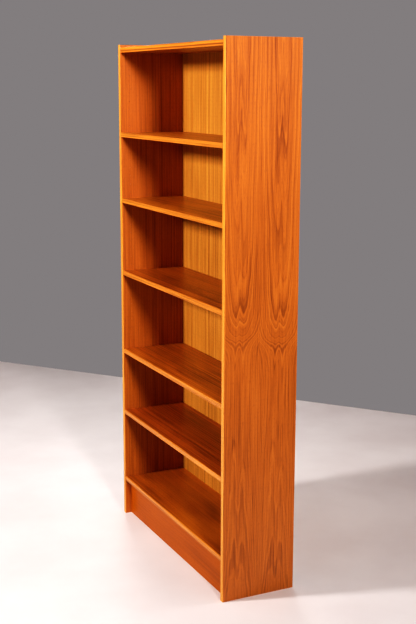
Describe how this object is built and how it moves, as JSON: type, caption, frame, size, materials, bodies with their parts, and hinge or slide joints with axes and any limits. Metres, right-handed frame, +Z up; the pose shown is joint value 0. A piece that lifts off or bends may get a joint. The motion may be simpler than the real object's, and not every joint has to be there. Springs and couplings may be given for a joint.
{
  "type": "bookcase with adjustable shelves",
  "caption": "Tall shallow open bookcase in teak veneer, with a recessed plinth, a thin back and loose shelves on hidden support wires in rows of holes.",
  "frame": {"origin": "middle of the footprint, on the floor", "axes": "+Z up; the open front faces -Y; +X is to the right of someone who looks at the front"},
  "size_m": [0.92, 0.278, 1.9],
  "materials": {
    "teak_veneer": "satin oiled teak veneer on board",
    "teak_lipping": "satin oiled solid teak",
    "teak_ply_back": "matt veneered plywood",
    "beech": "plain turned beech",
    "softwood": "sawn softwood",
    "bright_steel": "drawn bright steel wire"
  },
  "bodies": {
    "carcass": {"left_side_panel": "teak_veneer", "right_side_panel": "teak_veneer", "left_side_lipping": "teak_lipping", "right_side_lipping": "teak_lipping", "top_board": "teak_veneer", "top_board_lipping": "teak_lipping", "bottom_board": "teak_veneer", "bottom_board_lipping": "teak_lipping", "plinth_board": "teak_veneer", "back_panel": "teak_ply_back", "top_dowels": "beech", "bottom_dowels": "beech", "plinth_dowels": "beech", "back_nails": "bright_steel", "corner_blocks": "softwood", "shelf_1_wire_left": "bright_steel", "shelf_1_wire_right": "bright_steel", "shelf_2_wire_left": "bright_steel", "shelf_2_wire_right": "bright_steel", "shelf_3_wire_left": "bright_steel", "shelf_3_wire_right": "bright_steel", "shelf_4_wire_left": "bright_steel", "shelf_4_wire_right": "bright_steel", "shelf_5_wire_left": "bright_steel", "shelf_5_wire_right": "bright_steel"},
    "shelf_1": {"shelf_1_board": "teak_veneer", "shelf_1_lipping": "teak_lipping"},
    "shelf_2": {"shelf_2_board": "teak_veneer", "shelf_2_lipping": "teak_lipping"},
    "shelf_3": {"shelf_3_board": "teak_veneer", "shelf_3_lipping": "teak_lipping"},
    "shelf_4": {"shelf_4_board": "teak_veneer", "shelf_4_lipping": "teak_lipping"},
    "shelf_5": {"shelf_5_board": "teak_veneer", "shelf_5_lipping": "teak_lipping"}
  },
  "joints": [
    {"name": "shelf_1_pull", "type": "slide", "parent": "carcass", "child": "shelf_1", "axis": [0, -1, 0], "range_m": [0, 0.27]},
    {"name": "shelf_2_pull", "type": "slide", "parent": "carcass", "child": "shelf_2", "axis": [0, -1, 0], "range_m": [0, 0.27]},
    {"name": "shelf_3_pull", "type": "slide", "parent": "carcass", "child": "shelf_3", "axis": [0, -1, 0], "range_m": [0, 0.27]},
    {"name": "shelf_4_pull", "type": "slide", "parent": "carcass", "child": "shelf_4", "axis": [0, -1, 0], "range_m": [0, 0.27]},
    {"name": "shelf_5_pull", "type": "slide", "parent": "carcass", "child": "shelf_5", "axis": [0, -1, 0], "range_m": [0, 0.27]}
  ]
}
